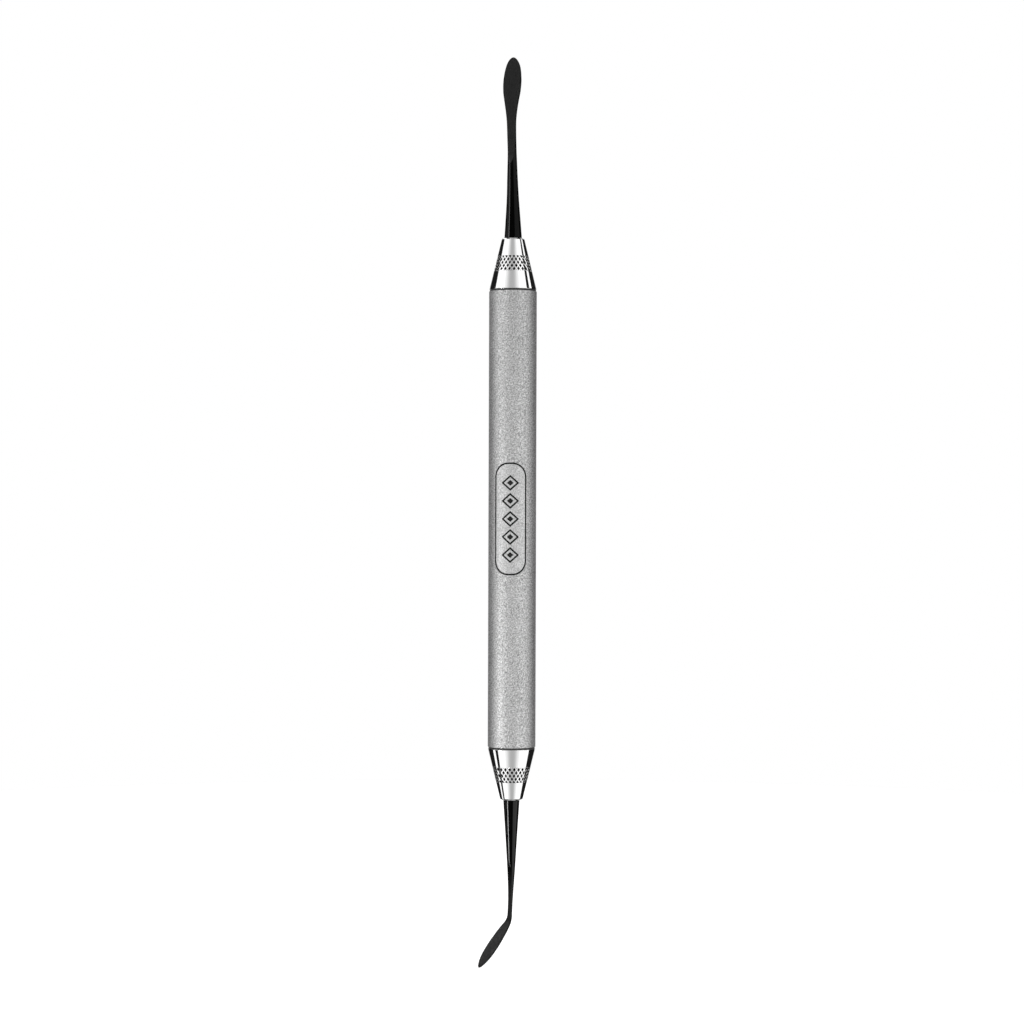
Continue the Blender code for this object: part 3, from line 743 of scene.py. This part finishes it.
class Finish:
    """A Principled material whose patterns are laid out in metres on the piece itself."""

    def __init__(self, name, colour, metallic, roughness):
        self.material = bpy.data.materials.new(name)
        self.material.use_nodes = True
        self.material.diffuse_color = (*colour, 1.0)
        self.nodes = self.material.node_tree.nodes
        self.links = self.material.node_tree.links
        self.shader = self.nodes["Principled BSDF"]
        self.shader.inputs["Base Color"].default_value = (*colour, 1.0)
        self.shader.inputs["Metallic"].default_value = metallic
        self.shader.inputs["Roughness"].default_value = roughness
        self.place = self.nodes.new("ShaderNodeTexCoord").outputs["Object"]

    def noise(self, size, detail=2.0, stretch=(1.0, 1.0, 1.0)):
        """Random pattern with blobs of the given size, stretched along each axis."""
        mapping = self.nodes.new("ShaderNodeMapping")
        mapping.inputs["Scale"].default_value = tuple(1.0 / (size * part) for part in stretch)
        texture = self.nodes.new("ShaderNodeTexNoise")
        texture.inputs["Scale"].default_value = 1.0
        texture.inputs["Detail"].default_value = detail
        self.links.new(self.place, mapping.inputs["Vector"])
        self.links.new(mapping.outputs["Vector"], texture.inputs["Vector"])
        return texture.outputs["Fac"]

    def remap(self, value, low, high, start=0.3, end=0.7):
        """Turn a pattern's start..end into low..high."""
        node = self.nodes.new("ShaderNodeMapRange")
        node.inputs["From Min"].default_value = start
        node.inputs["From Max"].default_value = end
        node.inputs["To Min"].default_value = low
        node.inputs["To Max"].default_value = high
        self.links.new(value, node.inputs["Value"])
        return node.outputs["Result"]

    def math(self, operation, first, second):
        """Combine two values, either of which may be a plain number."""
        node = self.nodes.new("ShaderNodeMath")
        node.operation = operation
        for socket, value in zip(node.inputs, (first, second)):
            if isinstance(value, float):
                socket.default_value = value
            else:
                self.links.new(value, socket)
        return node.outputs["Value"]

    def blend(self, share, first, second):
        """Colour that goes from the first to the second as the share goes from 0 to 1."""
        node = self.nodes.new("ShaderNodeMix")
        node.data_type = "RGBA"
        self.links.new(share, node.inputs["Factor"])
        for socket, colour in ((node.inputs[6], first), (node.inputs[7], second)):
            if isinstance(colour, tuple):
                socket.default_value = (*colour, 1.0)
            else:
                self.links.new(colour, socket)
        return node.outputs[2]

    def height(self):
        """Distance from the middle of the tool along its axis."""
        parts = self.nodes.new("ShaderNodeSeparateXYZ")
        self.links.new(self.place, parts.inputs["Vector"])
        return self.math("ABSOLUTE", parts.outputs["Z"], 0.0)

    def axis_distance(self):
        """Distance from the tool's axis."""
        flat = self.nodes.new("ShaderNodeVectorMath")
        flat.operation = "MULTIPLY"
        flat.inputs[1].default_value = (1.0, 1.0, 0.0)
        self.links.new(self.place, flat.inputs[0])
        length = self.nodes.new("ShaderNodeVectorMath")
        length.operation = "LENGTH"
        self.links.new(flat.outputs["Vector"], length.inputs[0])
        return length.outputs["Value"]

    def colour(self, value):
        """Drive the base colour."""
        self.links.new(value, self.shader.inputs["Base Color"])

    def roughness(self, value):
        """Drive the roughness."""
        self.links.new(value, self.shader.inputs["Roughness"])

    def bump(self, value, depth, strength=1.0):
        """Raise the surface by up to the depth where the value is high. Bumps add up."""
        node = self.nodes.new("ShaderNodeBump")
        node.inputs["Strength"].default_value = strength
        node.inputs["Distance"].default_value = depth
        self.links.new(value, node.inputs["Height"])
        target = self.shader.inputs["Normal"]
        if target.is_linked:
            self.links.new(target.links[0].from_socket, node.inputs["Normal"])
        self.links.new(node.outputs["Normal"], target)


def satin_steel_material():
    """Bead-blasted steel: fine pale and dark grains with tiny dents, and a faint cloudiness."""
    finish = Finish("satin_steel", (0.60, 0.60, 0.60), 1.0, 0.50)
    grain = finish.noise(0.00025, detail=1.0)
    cloud = finish.noise(0.0060, detail=3.0)
    shade_of_grain = finish.blend(finish.remap(grain, 0.0, 1.0), (0.33, 0.33, 0.33), (0.84, 0.84, 0.84))
    finish.colour(shade_of_grain)
    cloud_roughness = finish.remap(cloud, -0.02, 0.02)
    finish.roughness(finish.math("ADD", finish.remap(grain, 0.60, 0.52), cloud_roughness))
    finish.bump(finish.noise(0.00022, detail=3.0), 0.000012)
    return finish.material


def badge_field_material():
    """Steel inside the badge frame, paler and more even than the blasted grip."""
    finish = Finish("badge_field_steel", (0.72, 0.72, 0.72), 1.0, 0.52)
    grain = finish.noise(0.00025, detail=1.0)
    finish.colour(finish.blend(finish.remap(grain, 0.0, 1.0), (0.46, 0.46, 0.46), (0.80, 0.80, 0.80)))
    finish.roughness(finish.remap(grain, 0.55, 0.49))
    finish.bump(finish.noise(0.00020, detail=2.0), 0.000006)
    return finish.material


def etched_groove_material():
    """Dark, dull floor and walls of the engraved grooves."""
    finish = Finish("etched_groove", (0.03, 0.03, 0.03), 0.6, 0.65)
    grain = finish.noise(0.00012, detail=3.0)
    finish.colour(finish.blend(finish.remap(grain, 0.0, 1.0), (0.006, 0.006, 0.006), (0.034, 0.033, 0.032)))
    finish.roughness(finish.remap(grain, 0.75, 0.55))
    finish.bump(grain, 0.000010)
    return finish.material


def polished_steel_material():
    """Polished cone: near-mirror steel with faint turning lines and smears, and painted shade darkening the
    pits of the knurl.
    """
    finish = Finish("polished_steel", (0.86, 0.86, 0.86), 1.0, 0.06)
    rings = finish.noise(0.00009, detail=1.0, stretch=(60.0, 60.0, 1.0))
    smears = finish.noise(0.0022, detail=3.0, stretch=(1.0, 1.0, 0.6))
    height = finish.height()
    cone = finish.remap(height, SOCKET_BASE_RADIUS, SOCKET_NOSE_RADIUS, start=SOCKET_BASE, end=SOCKET_TOP)
    depth = finish.math("SUBTRACT", cone, finish.axis_distance())
    deep = finish.remap(depth, 0.0, 1.0, start=0.02 * KNURL_DEPTH, end=0.28 * KNURL_DEPTH)
    # Only the knurled band gets painted shade where it is deep: the stud lies just as far inside the cone's
    # surface
    past_start = finish.remap(height, 0.0, 1.0, start=KNURL_START - KNURL_MARGIN, end=KNURL_START)
    before_end = finish.remap(height, 1.0, 0.0, start=KNURL_END, end=KNURL_END + KNURL_MARGIN)
    pit_shade = finish.math("MULTIPLY", deep, finish.math("MULTIPLY", past_start, before_end))
    # The hole for the tang is deep inside the band as well, but far nearer the axis than any pit
    near_surface = finish.remap(depth, 1.0, 0.0, start=1.5 * KNURL_DEPTH, end=2.0 * KNURL_DEPTH)
    pit_shade = finish.math("MULTIPLY", pit_shade, near_surface)
    # Painted shade: the colour goes to near-black in the knurl's pits, where shade falls
    finish.colour(finish.blend(pit_shade, (0.86, 0.86, 0.86), (0.020, 0.020, 0.019)))
    smeared = finish.math("ADD", finish.remap(smears, 0.050, 0.070), finish.remap(rings, -0.005, 0.005))
    finish.roughness(finish.math("ADD", smeared, finish.math("MULTIPLY", pit_shade, 0.2)))
    finish.bump(rings, 0.00000008)
    return finish.material


def turned_steel_material():
    """Turned steel of the hidden bushes: clear tool marks round the axis."""
    finish = Finish("turned_steel", (0.66, 0.65, 0.63), 1.0, 0.28)
    rings = finish.noise(0.00006, detail=2.0, stretch=(40.0, 40.0, 1.0))
    cloud = finish.noise(0.0015, detail=3.0)
    finish.colour(finish.blend(finish.remap(rings, 0.0, 1.0), (0.56, 0.55, 0.53), (0.72, 0.71, 0.69)))
    finish.roughness(finish.math("ADD", finish.remap(rings, 0.34, 0.24), finish.remap(cloud, -0.03, 0.03)))
    finish.bump(rings, 0.000002)
    return finish.material


def seal_rubber_material():
    """Matt black rubber with a fine moulded skin."""
    finish = Finish("seal_rubber", (0.045, 0.045, 0.045), 0.0, 0.7)
    skin = finish.noise(0.00010, detail=3.0)
    finish.colour(finish.blend(finish.remap(skin, 0.0, 1.0), (0.030, 0.030, 0.030), (0.060, 0.060, 0.058)))
    finish.roughness(finish.remap(skin, 0.60, 0.78))
    finish.bump(skin, 0.000008)
    return finish.material


def black_coating_material():
    """Black coating: glossy on the round shank, satin with a fine grain on the flat blade."""
    finish = Finish("black_coating", (0.006, 0.006, 0.006), 0.0, 0.2)
    finish.shader.inputs["IOR"].default_value = 1.36
    grain = finish.noise(0.00030, detail=2.0)
    along = finish.noise(0.00012, detail=2.0, stretch=(1.0, 1.0, 14.0))
    blade = finish.remap(finish.height(), 0.0, 1.0, start=0.0700, end=0.0780)
    speckle = finish.blend(finish.remap(grain, 0.0, 1.0), (0.0006, 0.0006, 0.0006), (0.0066, 0.0066, 0.0066))
    sheen = finish.blend(finish.remap(along, 0.0, 1.0), (0.0008, 0.0008, 0.0008), (0.0020, 0.0020, 0.0020))
    finish.colour(finish.blend(blade, sheen, speckle))
    gloss = finish.remap(along, 0.09, 0.12)
    satin = finish.remap(grain, 0.54, 0.26)
    change = finish.math("SUBTRACT", satin, gloss)
    finish.roughness(finish.math("ADD", gloss, finish.math("MULTIPLY", change, blade)))
    finish.bump(along, 0.0000001)
    finish.bump(finish.math("MULTIPLY", grain, blade), 0.000008)
    return finish.material


def floor_material():
    """Plain pale floor with the faintest mottling."""
    finish = Finish("pale_floor", (0.9, 0.9, 0.9), 0.0, 0.8)
    mottle = finish.noise(0.012, detail=3.0)
    finish.colour(finish.blend(finish.remap(mottle, 0.0, 1.0), (0.89, 0.89, 0.89), (0.91, 0.91, 0.91)))
    finish.shader.inputs["Emission Color"].default_value = (1.0, 1.0, 1.0, 1.0)
    finish.shader.inputs["Emission Strength"].default_value = 0.85
    return finish.material


# ---------------------------------------------------------------- studio

def make_floor(height):
    """Round floor just under the lower blade. It isn't mirrored in the steel and casts no shadow."""
    shell = Shell()
    rim = shell.circle(FLOOR_RADIUS, height)
    shell.close_to_point(rim, Vector((0.0, 0.0, height)))
    floor = shell.build("floor", floor_material())
    floor.visible_glossy = False
    floor.visible_diffuse = False
    floor.visible_shadow = False
    return floor


def make_backdrop():
    """White surroundings for the camera, and darkness for the steel to mirror between the softboxes."""
    world = bpy.data.worlds.new("studio")
    world.use_nodes = True
    nodes = world.node_tree.nodes
    links = world.node_tree.links
    background = nodes["Background"]
    background.inputs["Color"].default_value = (1.0, 1.0, 1.0, 1.0)
    rays = nodes.new("ShaderNodeLightPath")
    strength = nodes.new("ShaderNodeMapRange")
    strength.inputs["To Min"].default_value = 0.012
    strength.inputs["To Max"].default_value = 1.0
    links.new(rays.outputs["Is Camera Ray"], strength.inputs["Value"])
    links.new(strength.outputs["Result"], background.inputs["Strength"])
    bpy.context.scene.world = world


def make_softbox(name, azimuths, elevations, radiance, fade=None):
    """Upright rectangular light on a circle round the tool, spanning the given angles in degrees."""
    left, right = (math.radians(angle) for angle in azimuths)
    low, high = (math.radians(angle) for angle in elevations)
    middle = (left + right) / 2.0
    half = (right - left) / 2.0
    distance = LIGHT_CIRCLE * math.cos(half)
    bottom = LIGHT_CIRCLE * math.tan(low)
    top = LIGHT_CIRCLE * math.tan(high)

    lamp = bpy.data.lights.new(name, "AREA")
    lamp.shape = "RECTANGLE"
    lamp.size = 2.0 * LIGHT_CIRCLE * math.sin(half)
    lamp.size_y = top - bottom
    lamp.energy = radiance * math.pi * lamp.size * lamp.size_y
    if fade is not None:
        fade_softbox(lamp, fade)

    outward = Vector((math.sin(middle), -math.cos(middle), 0.0))
    upward = Vector((0.0, 0.0, 1.0))
    sideways = upward.cross(outward)
    box = bpy.data.objects.new(name, lamp)
    axes = Matrix((sideways, upward, outward)).transposed().to_4x4()
    box.matrix_world = Matrix.Translation(distance * outward + (top + bottom) / 2.0 * upward) @ axes
    box.visible_camera = False
    bpy.context.scene.collection.objects.link(box)
    return box


def make_end_light(name, height):
    """Level square light straight above or below the tool, for the views from above and below."""
    lamp = bpy.data.lights.new(name, "AREA")
    lamp.shape = "SQUARE"
    lamp.size = END_LIGHT_SIZE
    lamp.energy = END_LIGHT_RADIANCE * math.pi * END_LIGHT_SIZE * END_LIGHT_SIZE
    box = bpy.data.objects.new(name, lamp)
    facing = Matrix.Identity(4) if height > 0.0 else Matrix.Rotation(math.pi, 4, "X")
    box.matrix_world = Matrix.Translation((0.0, 0.0, height)) @ facing
    box.visible_camera = False
    bpy.context.scene.collection.objects.link(box)


def fade_softbox(lamp, stops):
    """Vary a softbox's brightness from its middle (0) to both sides (1). Stops: (reach, brightness)."""
    lamp.use_nodes = True
    nodes = lamp.node_tree.nodes
    links = lamp.node_tree.links
    place = nodes.new("ShaderNodeNewGeometry")
    parts = nodes.new("ShaderNodeSeparateXYZ")
    ramp = nodes.new("ShaderNodeValToRGB")
    ramp.color_ramp.interpolation = "LINEAR"
    mirrored = [(0.5 - 0.5 * reach, brightness) for reach, brightness in reversed(stops)]
    mirrored += [(0.5 + 0.5 * reach, brightness) for reach, brightness in stops[1:]]
    while len(ramp.color_ramp.elements) < len(mirrored):
        ramp.color_ramp.elements.new(0.5)
    for element, (position, brightness) in zip(ramp.color_ramp.elements, mirrored):
        element.position = position
        element.color = (brightness, brightness, brightness, 1.0)
    links.new(place.outputs["Parametric"], parts.inputs["Vector"])
    links.new(parts.outputs["X"], ramp.inputs["Fac"])
    links.new(ramp.outputs["Color"], nodes["Emission"].inputs["Strength"])


def make_light_row(name, elevations, panels):
    """One level row of softboxes. Panels: (name, left azimuth, right azimuth, radiance)."""
    for panel, left, right, radiance in panels:
        make_softbox(f"{name}_{panel}", (left, right), elevations, radiance)


def make_lights():
    """Softboxes that draw the bright and dark bands on the steel, in five rows one above the other."""
    soft_middle = [(0.0, 0.39), (0.24, 0.42), (0.45, 0.56), (0.65, 0.74), (1.0, 0.90)]
    high = (23.0, 44.0)
    rise = (13.0, 23.0)
    level = (-13.0, 13.0)
    fall = (-23.0, -13.0)
    low = (-44.0, -23.0)
    make_softbox("high_middle", (-46.0, 34.0), high, 1.22, fade=soft_middle)
    make_softbox("low_middle", (-36.0, 44.0), low, 1.22, fade=soft_middle)
    make_light_row("high", high, [
        ("left", -100.0, -46.0, 1.22),
        ("right", 34.0, 76.0, 1.22),
        ("strip", 93.0, 109.0, 1.22),
        ("back", 145.0, 215.0, 1.0),
    ])
    make_light_row("low", low, [
        ("left", -76.0, -36.0, 1.22),
        ("right", 44.0, 100.0, 1.22),
        ("strip", -109.0, -93.0, 1.22),
        ("back", 145.0, 215.0, 1.0),
    ])
    make_light_row("rise", rise, [
        ("left", -108.0, -72.0, 0.5),
        ("right", 25.0, 96.0, 0.38),
    ])
    make_light_row("level", level, [
        ("left", -96.0, -54.0, 0.62),
        ("fill", -54.0, 22.0, 0.63),
        ("right", 22.0, 76.0, 1.14),
        ("right_edge", 76.0, 100.0, 0.6),
        ("back", 145.0, 215.0, 0.4),
    ])
    make_light_row("fall", fall, [
        ("left", -108.0, -94.0, 0.5),
        ("right", 25.0, 96.0, 1.3),
    ])
    make_softbox("level_fill_below", (-40.0, 22.0), (-13.0, 0.0), 0.95)
    make_softbox("shank_key_above", (-66.0, -57.0), (15.0, 28.0), 6.0)
    make_softbox("shank_key_below", (-65.0, -53.0), (-25.5, -17.5), 24.0)
    make_end_light("overhead", END_LIGHT_HEIGHT)
    make_end_light("underneath", -END_LIGHT_HEIGHT)
    make_softbox("back_left_above", (-140.0, -106.0), (34.0, 54.0), 1.9)


def make_camera():
    """Level camera at the photograph's distance and height, on the -Y side."""
    lens = bpy.data.cameras.new("camera")
    lens.sensor_width = SENSOR_WIDTH
    lens.lens = CAMERA_LENS
    lens.clip_start = 0.01
    camera = bpy.data.objects.new("camera", lens)
    place = Matrix.Translation((CAMERA_SIDE, -CAMERA_DISTANCE, CAMERA_HEIGHT))
    level = Matrix.Rotation(math.pi / 2.0, 4, "X")
    camera.matrix_world = place @ level @ Matrix.Rotation(CAMERA_ROLL, 4, "Z")
    bpy.context.scene.collection.objects.link(camera)
    bpy.context.scene.camera = camera


# ---------------------------------------------------------------- assembly

def stand_for(piece, body, node):
    """Ride the piece on its body in place of its CAD node, and hide the node."""
    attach(piece, body)
    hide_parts(node)


def make_tool():
    """Build the nine pieces and put each one on its body."""
    stand_for(make_grip(), "handle", "handle_tube")
    placements = {"upper": Matrix.Identity(4), "lower": Matrix.Rotation(math.pi, 4, "Y")}
    for end_name, matrix in placements.items():
        bush = make_bush(f"{end_name}_bush", matrix)
        stand_for(bush, "handle", f"{end_name}_end_bush")
        seal = make_seal(f"{end_name}_seal_band", matrix)
        stand_for(seal, f"{end_name}_seal", f"{end_name}_seal_ring")
        socket = make_socket(f"{end_name}_cone", end_name, matrix)
        stand_for(socket, f"{end_name}_socket", f"{end_name}_cone_socket")
    upper = make_blade("upper_blade", UPPER_STATIONS, straight_path, tip_placement(1.0, UPPER_FACE_TURN))
    stand_for(upper, "upper_socket", "upper_tip")
    lower = make_blade("lower_blade", LOWER_STATIONS, bent_path, tip_placement(-1.0, LOWER_FACE_TURN))
    stand_for(lower, "lower_socket", "lower_tip")


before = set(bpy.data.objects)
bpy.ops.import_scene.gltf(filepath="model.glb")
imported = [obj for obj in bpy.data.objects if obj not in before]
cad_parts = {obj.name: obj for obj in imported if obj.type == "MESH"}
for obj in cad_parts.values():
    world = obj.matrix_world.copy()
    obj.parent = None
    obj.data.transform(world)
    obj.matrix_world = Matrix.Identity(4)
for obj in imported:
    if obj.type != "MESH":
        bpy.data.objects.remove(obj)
cad_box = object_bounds()
bpy.context.scene.view_settings.view_transform = "Standard"
make_camera()
make_tool()
make_floor(cad_box[0][2] - FLOOR_DROP)
make_backdrop()
make_lights()
